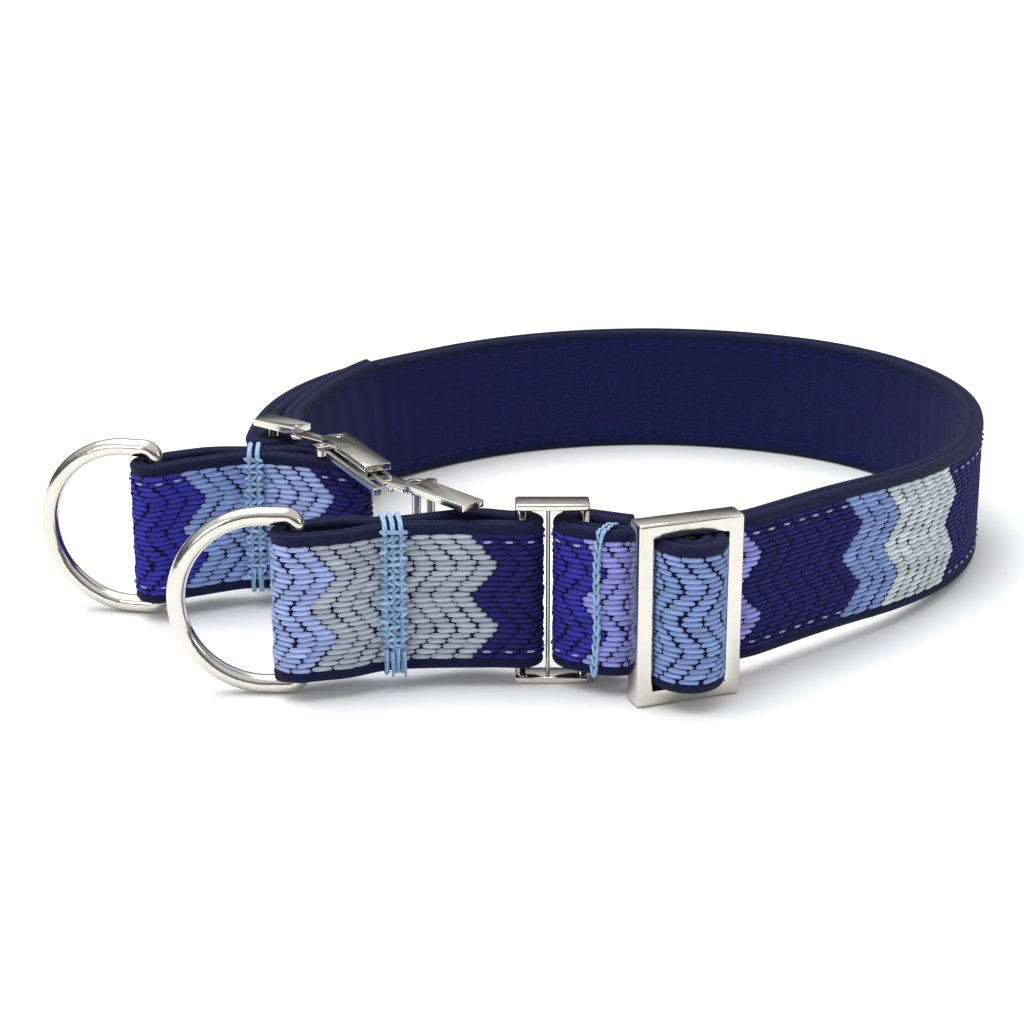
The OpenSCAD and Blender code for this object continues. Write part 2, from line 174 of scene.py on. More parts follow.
class Recipe:
    """The node tree of one finish."""

    def __init__(self, name, **constants):
        self.material = bpy.data.materials.new(name)
        self.material.use_nodes = True
        self.tree = self.material.node_tree
        self.shader = self.tree.nodes["Principled BSDF"]
        for key, value in constants.items():
            self.shader.inputs[key.replace("_", " ")].default_value = value

    def add(self, kind, settings, inputs, output=0):
        """The wire from one new node, whose inputs are values or wires."""
        inputs = {key: value.socket if isinstance(value, Wire) else value for key, value in inputs.items()}
        return Wire(self, new_node(self.tree, kind, settings, inputs).outputs[output])

    def feed(self, name, wire):
        """Runs a wire into an input of the main shader."""
        self.tree.links.new(wire.socket, self.shader.inputs[name])

    def attribute(self, name, output="Vector"):
        """The wire of a named attribute of the mesh."""
        return self.add("ShaderNodeAttribute", {"attribute_name": name}, {}, output)

    def parts(self, vector):
        """The X, Y and Z wires of a vector."""
        split = self.add("ShaderNodeSeparateXYZ", {}, {0: vector}).socket.node
        return [Wire(self, s) for s in split.outputs]

    def place(self):
        """The wire of the object coordinates."""
        return self.add("ShaderNodeTexCoord", {}, {}, "Object")

    def noise(self, vector, scale, detail=3.0, rough=0.5):
        """The wire of a noise from 0 to 1."""
        return self.add("ShaderNodeTexNoise", {}, {"Vector": vector, "Scale": scale, "Detail": detail,
                                                   "Roughness": rough})

    def blend(self, factor, first, second, kind="MIX"):
        """A mix of two colours, each a value or a wire."""
        def solid(c):
            return c if isinstance(c, Wire) else (*c[:3], 1.0)
        return self.add("ShaderNodeMix", {"data_type": "RGBA", "blend_type": kind},
                        {"Factor": factor, 6: solid(first), 7: solid(second)}, output=2)

    def bump(self, height, distance):
        """Raises the surface by a height wire; distance is in metres."""
        self.feed("Normal", self.add("ShaderNodeBump", {}, {"Height": height, "Distance": distance}))


def toned(colour, share):
    """A colour made darker or lighter by a share."""
    return [min(1.0, c * share) for c in colour[:3]]


def speckled(colour, pick, low, high):
    """A colour with each of its channels made darker or lighter by chance."""
    return [min(1.0, c * pick.uniform(low, high)) for c in colour[:3]]


def nickel_finish(colour):
    """Polished plated metal with faint wiping marks."""
    made = Recipe("polished_nickel", Metallic=1.0)
    spot = made.place()
    haze = made.noise(spot, 260, 4)
    made.feed("Base Color", made.blend(haze, toned(colour, 0.86), colour))
    made.feed("Roughness", made.noise(spot, 900, 3) * 0.12 + 0.1)
    made.bump(made.noise(spot, 420, 2), 0.00006)
    return made.material


def pin_finish(colour):
    """Brushed pins and rivets, a little duller than the plates."""
    made = Recipe("brushed_pins", Metallic=1.0)
    x, y, z = made.parts(made.place())
    lines = made.noise(made.add("ShaderNodeCombineXYZ", {}, {0: x * 300, 1: y * 300, 2: z * 6000}), 1.0, 2)
    made.feed("Base Color", made.blend(lines, toned(colour, 0.7), toned(colour, 0.95)))
    made.feed("Roughness", lines * 0.15 + 0.2)
    made.bump(lines, 0.00003)
    return made.material


def thread_finish():
    """Stranded cotton: the tint comes with each stitch, the twist runs along it, with painted shade in the
    grooves between its plies and a painted highlight on their ridges.
    """
    made = Recipe("stranded_cotton", Specular_IOR_Level=0.22, Sheen_Weight=0.03, Sheen_Roughness=0.4)
    along, around, _ = made.parts(made.attribute("strand"))
    twist = (around * 18.85 + along * 5.0).sine() * 0.5 + 0.5
    fuzz = made.noise(made.place(), 5200, 3, 0.6)
    tint = made.attribute("tint", "Color")
    # painted shade and highlight: the colour is darkened in the twist's grooves and lightened on its ridges
    groove = made.blend(twist * 0.45 + 0.55, (0.42, 0.42, 0.5), (1.08, 1.08, 1.06))
    made.feed("Base Color", made.blend(1.0, made.blend(1.0, tint, groove, "MULTIPLY"),
                                       made.blend(fuzz, (0.84, 0.84, 0.86), (1.12, 1.12, 1.1)), "MULTIPLY"))
    made.feed("Roughness", fuzz * 0.2 + 0.66)
    made.bump(twist * 0.7 + fuzz * 0.4, 0.00014)
    return made.material


def canvas_finish(colour):
    """Open canvas with a dark thread grid, seen between the stitches."""
    made = Recipe("needlepoint_canvas", Specular_IOR_Level=0.2, Sheen_Weight=0.02)
    along, _, up = made.parts(made.attribute("course"))
    grid = (along * 4.5).sine() * (up * 4.5).sine() * 0.5 + 0.5
    fuzz = made.noise(made.place(), 2400, 3)
    made.feed("Base Color", made.blend(grid * 0.5 + fuzz * 0.5, toned(colour, 0.55), toned(colour, 1.5)))
    made.feed("Roughness", fuzz * 0.2 + 0.75)
    made.bump(grid + fuzz * 0.5, 0.0002)
    return made.material


def cloth_finish(name, colour, weave, crease):
    """Plain woven cloth: a fine over-and-under weave and slow creases, with painted light and shade that
    makes the colour lighter on the high spots and darker in the creases' hollows.
    """
    made = Recipe(name, Specular_IOR_Level=0.22, Sheen_Weight=0.03, Sheen_Roughness=0.4)
    along, out, up = made.parts(made.attribute("course"))
    over = (along * weave + up * weave * 0.12).sine() * (up * weave).sine()
    slow = made.noise(made.add("ShaderNodeCombineXYZ", {}, {0: along * 0.55, 1: out, 2: up * 0.09}), 1.0, 3)
    fuzz = made.noise(made.place(), 1500, 4, 0.6)
    # painted light and shade: the colour follows the bump's noises, lighter on the high spots and darker in
    # the crease hollows; the weave and fuzz also vary the cloth's own tone
    mix = over * 0.16 + slow * 0.55 + fuzz * 0.35
    made.feed("Base Color", made.blend(mix, toned(colour, 0.5), toned(colour, 1.75)))
    made.feed("Roughness", fuzz * 0.2 + 0.7)
    made.bump(over * 0.5 + slow * crease + fuzz * 0.45, 0.00016)
    return made.material


def floor_finish():
    """Matt white paper."""
    made = Recipe("studio_floor", Specular_IOR_Level=0.1)
    made.feed("Base Color", made.blend(made.noise(made.place(), 3, 2), [0.93] * 3, [0.96] * 3))
    made.feed("Roughness", made.noise(made.place(), 9, 2) * 0.1 + 0.85)
    return made.material


FINISHES = {}


def finish(key):
    """The material of one name, made on first use."""
    if key not in FINISHES:
        c = bpy.context.scene.collar_colour
        FINISHES.update(
            nickel=nickel_finish(c.nickel), nickel_pin=pin_finish(c.nickel), thread=thread_finish(),
            canvas=canvas_finish(c.canvas), floor=floor_finish(),
            lining=cloth_finish("lining_cloth", c.lining, 9.0, 1.6),
            binding=cloth_finish("binding_cloth", c.binding, 12.0, 0.6))
    return FINISHES[key]


# ---------------------------------------------------------------- courses: straps seen from above

EYE_R = 0.9 + 0.3 + 1.9             # the bar's radius, the gap and half the strap
SHIFT = np.array((-1.27, 0.66))     # brings the middle of the whole collar to the origin
CONNECTOR = SHIFT + (9.8, -59.4)
SLIDE, SLIDE_TURN = SHIFT + (26.2, -66.7), 20.4
HEADING, TAIL = 158, 7              # the way that the tucked-in front end runs, in degrees, and its length
# The neck strap's stretches as (length, turn in degrees), from the front end round the neck to the rear end
FRONT_STEPS = ((TAIL, 0), (math.pi * EYE_R * 175 / 180, 175), (4.2, 0), (5, 47), (18, 0), (6, 20), (26.5, 0),
               (60, 45), (60, 68), (64, 52), (52, 40), (40, 23), (3, 0))
REAR_STEPS = ((math.pi * EYE_R, 180), (8, 11.2), (8, -18.8), (25.4, -15.2), (10, -8.1))
# Distances between which the strap sags, and the stretch over which the sag comes and goes
BACK_FROM, BACK_TO, BACK_EASE = 60, 345, 70
# Half widths of a tab as (share of its length, outer side, inner side)
FRONT_KNOTS = ((0, 3.7, 3.7), (0.16, 3.4, 5), (0.58, 2.6, 2.6), (0.82, 4.55, 4.55), (1, 4.35, 4.35))
REAR_KNOTS = ((0, 3.7, 3.7), (0.2, 3.7, 4.2), (0.5, 2.6, 2.6), (0.8, 4, 4), (1, 4.35, 4.35))


def ease(t):
    """A smooth step from 0 to 1."""
    t = min(1.0, max(0.0, t))
    return t * t * (3 - 2 * t)


def direction(degrees):
    """The unit vector at an angle."""
    return np.array((math.cos(math.radians(degrees)), math.sin(math.radians(degrees))))


class Skin(NamedTuple):
    """A surface along a course: places, ways, distances on the course, lengths on it and lower edges."""
    at: np.ndarray
    way: np.ndarray
    distance: np.ndarray
    length: np.ndarray
    low: np.ndarray

    def spot(self, run):
        """The place and the way at a length along the surface."""
        x, y, z = (np.interp(run, self.length, v) for v in (self.at[:, 0], self.at[:, 1], self.low))
        return x, y, z, *(np.interp(run, self.length, self.way[:, i]) for i in (0, 1))


class Course:
    """The line that a strap follows, seen from above, in millimetres. Its outer side is on the right of the
    way it runs; distance counts along the line, and low is the height of the strap's lower edge."""

    def __init__(self, points, closed=False, distance=None, low=None):
        self.points = np.array(points, float)
        self.closed = closed
        ahead, behind = np.roll(self.points, -1, 0), np.roll(self.points, 1, 0)
        if not closed:
            ahead[-1], behind[0] = self.points[-1], self.points[0]
        way = ahead - behind
        way /= np.linalg.norm(way, axis=1)[:, None]
        self.way = way
        self.out = np.stack((way[:, 1], -way[:, 0]), 1)
        steps = np.linalg.norm(np.diff(self.points, axis=0), axis=1)
        self.distance = np.concatenate(([0], np.cumsum(steps))) if distance is None else np.array(distance)
        self.total = self.distance[-1] + (np.linalg.norm(self.points[0] - self.points[-1]) if closed else 0)
        base = bpy.context.scene.collar_strap.strap_z
        self.low = np.full(len(self.points), base) if low is None else np.array(low)

    def part(self, start, end):
        """The stretch between two distances, as an open course."""
        keep = (self.distance >= start) & (self.distance <= end)
        made = Course(self.points[keep], False, self.distance[keep], self.low[keep])
        made.way, made.out = self.way[keep], self.out[keep]
        return made

    def skin(self, offset):
        """The surface at an offset from the line."""
        pick = list(range(len(self.points))) + ([0] if self.closed else [])
        distance = self.distance[pick].copy()
        if self.closed:
            distance[-1] = self.total
        at = self.points[pick] + self.out[pick] * offset
        length = np.concatenate(([0], np.cumsum(np.linalg.norm(np.diff(at, axis=0), axis=1))))
        return Skin(at, self.way[pick], distance, length, self.low[pick])


def neck_course():
    """The neck strap's middle line: tail, connector loop, round the neck, and back inside at the rear."""
    start = CONNECTOR + EYE_R * direction(HEADING - 90) - TAIL * direction(HEADING)
    x, y, head, run = start[0], start[1], float(HEADING), 0.0
    corners = [(x, y, head, run)]
    for length, turn in FRONT_STEPS + REAR_STEPS:
        n = 1 if turn == 0 else math.ceil(max(abs(turn) / 9, length / 8))
        for _ in range(n):
            way = direction(head + turn / n / 2)
            x, y = x + length / n * way[0], y + length / n * way[1]
            head, run = head + turn / n, run + length / n
            corners.append((x, y, head, run))
    points, distance = [], []
    for a, b in zip(corners, corners[1:]):
        chord = b[3] - a[3]
        n = max(1, round(chord / 0.7))
        for i in range(n):
            t = i / n
            p = ((2 * t ** 3 - 3 * t ** 2 + 1) * np.array(a[:2])
                 + (t ** 3 - 2 * t ** 2 + t) * chord * direction(a[2])
                 + (3 * t ** 2 - 2 * t ** 3) * np.array(b[:2]) + (t ** 3 - t ** 2) * chord * direction(b[2]))
            points.append(p)
            distance.append(a[3] + chord * t)
    points.append(corners[-1][:2])
    distance.append(corners[-1][3])
    s = bpy.context.scene.collar_strap
    low = [s.strap_z - s.back_drop * min(ease((d - BACK_FROM) / BACK_EASE), ease((BACK_TO - d) / BACK_EASE))
           for d in distance]
    return Course(points, False, distance, low)


def width_at(knots, t, side):
    """The half width at a share of the length; side is 1 for the outer side and 2 for the inner."""
    i = max(j for j in range(len(knots) - 1) if t >= knots[j][0])
    f = ease((t - knots[i][0]) / (knots[i + 1][0] - knots[i][0]))
    return knots[i][side] * (1 - f) + knots[i + 1][side] * f


def laid(points, turn, at):
    """Local points turned by an angle and moved to their place."""
    c, s = math.cos(math.radians(turn)), math.sin(math.radians(turn))
    return [(at[0] + x * c - y * s, at[1] + x * s + y * c) for x, y in points]


def arch_course():
    """The outer line of the strap that arches over the slide's bar."""
    arch = [direction(a) * (6, 6.4) - (0, 1.1) for a in range(180, 361, 6)]
    legs = [(-6, 2.3 - i * 0.68) for i in range(5)]
    line = legs + arch + [(-x, y) for x, y in reversed(legs)]
    return Course(laid(line, SLIDE_TURN, SLIDE))


class Tab(NamedTuple):
    """One ring tab, with the floss that binds it, in millimetres and degrees."""
    knots: tuple        # half widths
    length: float
    bow: float          # how far its middle stands out
    turn: float
    place: tuple        # the fold by the metal
    pinch: float        # share of the length at which the floss lies
    reach: float        # half of the floss's depth
    strands: tuple      # where the strands lie beside the floss's middle
    columns: tuple      # where the sewn columns lie
    tails: int          # loose ends

    def laid(self, points):
        """Points of the tab's own drawing, moved to its place."""
        return laid(points, self.turn, self.place)

    def course(self):
        """The outer outline, from the left fold along the front to the right and back behind."""
        n, (first, last) = 56, (self.knots[0][1], self.knots[-1][1])
        rise = [4 * self.bow * t * (1 - t) for t in (i / n for i in range(n + 1))]
        front = [(-self.length * i / n, rise[i] - width_at(self.knots, i / n, 1)) for i in range(n, -1, -1)]
        back = [(-self.length * i / n, rise[i] + width_at(self.knots, i / n, 2)) for i in range(n + 1)]
        near = [first * direction(a) for a in range(-80, 81, 10)]
        far = [last * direction(a) + (-self.length, 0) for a in range(100, 261, 10)]
        return Course(self.laid(far[8:] + front + near + back + far[:8]), True)


TABS = {
    "front": Tab(FRONT_KNOTS, 36.6, 1.6, 8.8, SHIFT + (-0.6, -59.4), 0.58, 3.25, (-1.25, 0, 1.25),
                 (-1.55, -0.5, 0.5, 1.55), 4),
    "rear": Tab(REAR_KNOTS, 34, 5.2, 3, laid([(5.2, 0.6)], -63.7, SHIFT + (-33.4, -23.4))[0], 0.5, 3.15,
                (-0.7, 0.7), (-1.1, 0, 1.1), 2),
}


# ---------------------------------------------------------------- meshes

def placed(name, data):
    """A new object in the scene."""
    thing = bpy.data.objects.new(name, data)
    bpy.context.scene.collection.objects.link(thing)
    return thing


def made_plain(thing):
    """The mesh that an object's modifiers make. The object is removed."""
    graph = bpy.context.evaluated_depsgraph_get()
    mesh = bpy.data.meshes.new_from_object(thing.evaluated_get(graph))
    bpy.data.objects.remove(thing)
    return mesh


def kept(name, bm):
    """A mesh from a bmesh, which is freed."""
    mesh = bpy.data.meshes.new(name)
    bm.to_mesh(mesh)
    bm.free()
    return mesh


def new_object(name, mesh, body, slot, *stands_for, material=None):
    """A finished piece on its body, with its finish and the CAD nodes that it stands for."""
    thing = placed(name, mesh)
    mesh.materials.clear()
    mesh.materials.append(finish(material or slot))
    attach(thing, body)
    if stands_for:
        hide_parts(*stands_for)
    return thing


def swept(name, course, profile, wobble=None):
    """A mesh that runs a closed profile of (offset, height) points along a course, with a course attribute
    of distance, offset and height in millimetres on its corners. wobble(distance, offset, height) adds to the
    offset."""
    n, m = len(course.points), len(profile)
    verts = []
    for i in range(n):
        for offset, height in profile:
            o = offset + (wobble(course.distance[i], offset, height) if wobble else 0)
            x, y = course.points[i] + course.out[i] * o
            verts.append((x * MM, y * MM, (course.low[i] + height) * MM))
    faces, marks = [], []
    for i in range(n if course.closed else n - 1):
        j = (i + 1) % n
        far = course.distance[j] if j else course.total
        for k in range(m):
            l = (k + 1) % m
            faces.append((i * m + k, j * m + k, j * m + l, i * m + l))
            marks += [(course.distance[i], *profile[k]), (far, *profile[k]), (far, *profile[l]),
                      (course.distance[i], *profile[l])]
    if not course.closed:
        faces.append(tuple(range(m)))
        marks += [(course.distance[0], *p) for p in profile]
        faces.append(tuple((n - 1) * m + k for k in reversed(range(m))))
        marks += [(course.distance[-1], *p) for p in reversed(profile)]
    mesh = bpy.data.meshes.new(name)
    mesh.from_pydata(verts, [], faces)
    field = mesh.attributes.new("course", "FLOAT_VECTOR", "CORNER")
    field.data.foreach_set("vector", np.array(marks, "f").ravel())
    face_outwards(mesh)
    mesh.shade_smooth()
    mesh.set_sharp_from_angle(angle=math.radians(50))
    return mesh


def face_outwards(mesh):
    """Turns every face of a closed mesh outwards."""
    bm = bmesh.new()
    bm.from_mesh(mesh)
    bmesh.ops.recalc_face_normals(bm, faces=bm.faces)
    bm.to_mesh(mesh)
    bm.free()


def sheet_profile(inner, outer, low, high, steps):
    """A flat band's section with points up both of its sides."""
    up = [low + (high - low) * i / steps for i in range(steps + 1)]
    return [(outer, h) for h in up] + [(inner, h) for h in reversed(up)]


def rolled_profile(middle, thick, height, upper):
    """A rolled edge: two soft ridges with a groove between them, and a flat side that sits on the strap."""
    r = thick / 4 + 0.14
    points = []
    for centre, start in ((thick / 4, -35), (-thick / 4, 35)):
        for a in range(start, start + 181, 20):
            u = direction(a)
            points.append((middle + centre + r * u[0], r * 0.95 * u[1]))
    foot = -(height - r * 0.95 + 0.25)
    points += [(middle - thick / 2 + 0.1, foot), (middle + thick / 2 - 0.1, foot)]
    edge = bpy.context.scene.collar_strap.strap_h
    if upper:
        return [(o, edge - r * 0.95 + 0.05 + h) for o, h in points]
    return [(o, r * 0.95 - 0.05 - h) for o, h in reversed(points)]


def joined(name, meshes):
    """One mesh from several, with their attributes kept."""
    bm = bmesh.new()
    for mesh in meshes:
        bm.from_mesh(mesh)
    made = kept(name, bm)
    for mesh in meshes:
        bpy.data.meshes.remove(mesh)
    return made


def ringed(name, rings, tips=()):
    """A smooth closed mesh over rings of (place, strand value), with flat ends or a tip beyond each end."""
    bm = bmesh.new()
    layer = bm.verts.layers.float_vector.new("strand")
    made = [[bm.verts.new(place) for place, _ in ring] for ring in rings]
    for verts, ring in zip(made, rings):
        for vert, (_, value) in zip(verts, ring):
            vert[layer] = value
    n = len(made[0])
    for a, b in zip(made, made[1:]):
        for k in range(n):
            bm.faces.new((a[k], a[(k + 1) % n], b[(k + 1) % n], b[k]))
    for tip, ring in zip(tips, (made[0], made[-1])):
        top = bm.verts.new(tip)
        for k in range(n):
            bm.faces.new((top, ring[k], ring[(k + 1) % n]))
    if not tips:
        bm.faces.new(made[0])
        bm.faces.new(made[-1])
    bmesh.ops.recalc_face_normals(bm, faces=bm.faces)
    for face in bm.faces:
        face.smooth = True
    return kept(name, bm)


def tube(path, radius, taper=0.0):
    """A round strand along points in millimetres."""
    points, sides = [Vector(p) for p in path], 8
    rings, side, last = [], None, len(points) - 1
    for i, p in enumerate(points):
        way = (points[min(i + 1, last)] - points[max(i - 1, 0)]).normalized()
        side = (way.orthogonal() if side is None else side - way * side.dot(way)).normalized()
        other, r = way.cross(side), radius * (1 - taper * i / last)
        turns = [2 * math.pi * k / sides for k in range(sides)]
        rings.append([((p + (side * math.cos(a) + other * math.sin(a)) * r) * MM, (i * 0.25, k / sides, 0))
                      for k, a in enumerate(turns)])
    return ringed("strand", rings)


def tinted(mesh, colour):
    """Gives every point of a mesh one thread tint."""
    field = mesh.attributes.new("tint", "FLOAT_COLOR", "POINT")
    field.data.foreach_set("color", np.tile((*colour[:3], 1.0), len(mesh.vertices)).astype("f"))
    return mesh


# ---------------------------------------------------------------- stitches

PUFF = 0.55     # below 1, a stitch is fuller near its ends than an ellipse


def stitch_bead():
    """One puffy stitch of unit length, width and height, lying along X with its top towards Z."""
    around, along, rings = 6, 5, []
    for t in (i / along for i in range(1, along)):
        x, r = -0.5 * math.cos(math.pi * t), 0.5 * math.sin(math.pi * t) ** PUFF
        turns = [2 * math.pi * k / around for k in range(around)]
        rings.append([((x, r * math.cos(a), r * math.sin(a)), (t, k / around, 0))
                      for k, a in enumerate(turns)])
    return bpy.data.objects.new("stitch_bead", ringed("stitch_bead", rings, ((-0.5, 0, 0), (0.5, 0, 0))))


def stitch_tree():
    """Geometry Nodes: one bead on every point, turned and tinted by the point's own attributes."""
    tree = bpy.data.node_groups.get("Stitches On Points")
    if tree:
        return tree
    tree = bpy.data.node_groups.new("Stitches On Points", "GeometryNodeTree")
    for name, kind in (("Geometry", "Geometry"), ("Bead", "Object"), ("Length", "Float"), ("Width", "Float"),
                       ("Height", "Float"), ("Size Variation", "Float"), ("Seed", "Int"),
                       ("Material", "Material")):
        tree.interface.new_socket(name, in_out="INPUT", socket_type="NodeSocket" + kind)
    tree.interface.new_socket("Geometry", in_out="OUTPUT", socket_type="NodeSocketGeometry")

    def add(kind, inputs, **settings):
        return new_node(tree, kind, settings, inputs).outputs

    given = add("NodeGroupInput", {})
    bead = add("GeometryNodeObjectInfo", {"Object": given["Bead"]})
    turn, size = (add("GeometryNodeInputNamedAttribute", {"Name": key}, data_type="FLOAT_VECTOR")["Attribute"]
                  for key in ("turn", "size"))
    rotation = add("FunctionNodeEulerToRotation", {0: turn})
    usual = add("ShaderNodeCombineXYZ", {"X": given["Length"], "Y": given["Width"], "Z": given["Height"]})
    scaled = add("ShaderNodeVectorMath", {0: usual[0], 1: size}, operation="MULTIPLY")
    low, high = (add("ShaderNodeMath", {0: 1.0, 1: given["Size Variation"]}, operation=kind)[0]
                 for kind in ("SUBTRACT", "ADD"))
    vary = add("FunctionNodeRandomValue", {2: low, 3: high, "Seed": given["Seed"]}, data_type="FLOAT")
    sized = add("ShaderNodeVectorMath", {0: scaled[0], "Scale": vary[1]}, operation="SCALE")
    beads = add("GeometryNodeInstanceOnPoints", {"Points": given["Geometry"], "Instance": bead["Geometry"],
                                                 "Rotation": rotation[0], "Scale": sized[0]})
    real = add("GeometryNodeRealizeInstances", {0: beads[0]})
    paint = add("GeometryNodeSetMaterial", {"Geometry": real[0], "Material": given["Material"]})
    add("NodeGroupOutput", {0: paint[0]})
    return tree


class Sewing:
    """A list of stitches: each has a place in millimetres, a way, an outward side, a size and a tint."""

    def __init__(self):
        self.places, self.turns, self.sizes, self.tints = [], [], [], []

    def add(self, place, way, out, tint, size, tilt=0.0):
        """One stitch; its size is a share of the usual length, width and height."""
        way, out = Vector(way).normalized(), Vector(out).normalized()
        side = out.cross(way)
        turn = Matrix((way, side, out)).transposed() @ Matrix.Rotation(tilt, 3, "Z")
        self.places.append(Vector(place) * MM)
        self.turns.append(tuple(turn.to_euler()))
        self.sizes.append(size)
        self.tints.append((*tint[:3], 1.0))

    def sew(self, name, body, slot, *stands_for):
        """Runs the tree over the points and keeps the result as a plain mesh on its body."""
        s = bpy.context.scene.collar_stitch
        mesh = bpy.data.meshes.new(name + "_points")
        mesh.from_pydata(self.places, [], [])
        for key, kind, field, values in (("turn", "FLOAT_VECTOR", "vector", self.turns),
                                         ("size", "FLOAT_VECTOR", "vector", self.sizes),
                                         ("tint", "FLOAT_COLOR", "color", self.tints)):
            layer = mesh.attributes.new(key, kind, "POINT")
            layer.data.foreach_set(field, np.array(values, "f").ravel())
        points = placed(name + "_points", mesh)
        bead = bpy.data.objects.get("stitch_bead") or stitch_bead()
        run = points.modifiers.new("Stitches", "NODES")
        run.node_group = stitch_tree()
        wanted = {"Bead": bead, "Length": s.length * MM, "Width": s.width * MM, "Height": s.height * MM,
                  "Size Variation": s.spread, "Seed": s.seed, "Material": finish("thread")}
        for item in run.node_group.interface.items_tree:
            if item.in_out == "INPUT" and item.name in wanted:
                run[item.identifier] = wanted[item.name]
        made = made_plain(points)
        if not made.polygons:
            raise RuntimeError("no stitches were made for " + name)
        made.name = name
        for key in ("turn", "size"):
            if key in made.attributes:
                made.attributes.remove(made.attributes[key])
        return new_object(name, made, body, slot, *stands_for, material="thread")


def zigzag(height):
    """How far the flame pattern stands out to the right at a height: tips at one and three quarters."""
    s, strap = bpy.context.scene.collar_stitch, bpy.context.scene.collar_strap
    span = (strap.strap_h - 2 * strap.binding_h) / 2
    t = ((height - strap.binding_h) % span) / span
    return s.zigzag * (1 - abs(2 * t - 1)) - s.zigzag / 2


def needlepoint(sewing, course, offset, zones, dashes, start, end):
    """Rows of long stitches over a course's surface. zones lists (distance, colour) in order; dashes lists
    the colours whose areas carry a pale running stitch near both edges."""
    s, strap = bpy.context.scene.collar_stitch, bpy.context.scene.collar_strap
    pale = bpy.context.scene.collar_colour.silver
    pick = random.Random(s.seed)
    skin = course.skin(offset)
    end = course.total if end is None else end
    row_h = (strap.strap_h - 2 * strap.binding_h) / s.rows
    first, last = np.interp((start, end), skin.distance, skin.length)
    count = round((last - first) / s.pitch)
    pitch = (last - first) / count
    for row in range(s.rows):
        height = strap.binding_h + (row + 0.5) * row_h
        shift = zigzag(height)
        for k in range(count):
            plain = first + (k + 0.5) * pitch
            run = plain + shift + pick.uniform(-0.2, 0.2)
            if course.closed:
                run %= skin.length[-1]
            elif not first < run < last:
                continue
            x, y, z, wx, wy = skin.spot(run)
            d = np.interp(plain, skin.length, skin.distance)
            colour = next((c for far, c in zones if d < far), zones[-1][1])
            tint = toned(colour, pick.uniform(0.84, 1.14))
            sewing.add((x, y, z + height), (wx, wy, 0), (wy, -wx, 0), tint,
                       (pick.uniform(0.94, 1.04), 1, pick.uniform(0.9, 1.15)), pick.uniform(-0.05, 0.05))
            if row in (1, s.rows - 2) and any(colour is c for c in dashes):
                sewing.add((x + wy * 0.45, y - wx * 0.45, z + height), (wx, wy, 0), (wy, -wx, 0),
                           speckled(pale, pick, 0.8, 1.1), (0.4, 0.4, 0.6), pick.uniform(-0.1, 0.1))


def running_stitch(sewing, course, offset, heights, tint, start, end):
    """Rows of short stitches on the lining, one at each height."""
    pick, pitch = random.Random(3), 3.1
    skin = course.skin(offset)
    first, last = np.interp((start, end), skin.distance, skin.length)
    for height in heights:
        for k in range(int((last - first) / pitch)):
            x, y, z, wx, wy = skin.spot(first + 1 + k * pitch + pick.uniform(-0.15, 0.15))
            sewing.add((x, y, z + height), (wx, wy, 0), (-wy, wx, 0), speckled(tint, pick, 0.8, 1.3),
                       (0.5, 0.34, 0.45), pick.uniform(-0.08, 0.08))


# ---------------------------------------------------------------- sizes of the layers and the colour zones

CANVAS_DIP = 0.3        # how far the canvas lies below the strap's surface
STITCH_SINK = 0.22      # and how far the stitches' middles do
CANVAS_END = 356.0      # distance at which the canvas ends and the folded end begins
ARCH_FACE_T, TAB_FACE_T = 1.8, 1.3      # depth of the canvas layer on the arch and on a tab


def thread_zones():
    """The flame pattern's colours along each strap, as (distance where the colour ends, colour)."""
    c = bpy.context.scene.collar_colour
    violet, bright, peri, lilac, silver, mint, steel = (tuple(v) for v in (
        c.violet, c.bright, c.periwinkle, c.lilac, c.silver, c.mint, c.steel))
    neck = [(21.8, bright), (45.5, lilac), (71, violet), (82, steel), (102, mint), (134, violet)]
    while neck[-1][0] < CANVAS_END:
        at = neck[-1][0]
        neck += [(at + 26, silver), (at + 50, violet), (at + 62, steel), (at + 84, mint), (at + 112, violet)]
    front = [(9.5, peri), (38, silver), (55, violet), (70, silver), (200, peri)]
    rear = [(14.5, bright), (23, steel), (39.5, peri), (58, violet), (80, steel), (200, bright)]
    return {"neck": neck, "front": front, "rear": rear, "arch": [(60, steel)], "dashes": (violet, bright)}


def creased(distance, height):
    """Soft upright creases on the inner side of the lining."""
    wave = math.sin(distance * 1.55 + 0.6 * math.sin(height * 0.21)) + 0.7 * math.sin(distance * 0.61 + 1.3)
    return -bpy.context.scene.collar_strap.crease * wave * 0.5


def pleated(distance, offset, height):
    """Slanting pleats on the outer side of the folded-back end."""
    s = bpy.context.scene.collar_strap
    if offset < 1.0:
        return 0.0
    wave = math.sin(distance * 0.95 + height * 0.24 + 0.5 * math.sin(height * 0.3))
    return s.pleat * (abs(wave) ** 0.6 * (1 if wave > 0 else -1) - 1) * 0.5


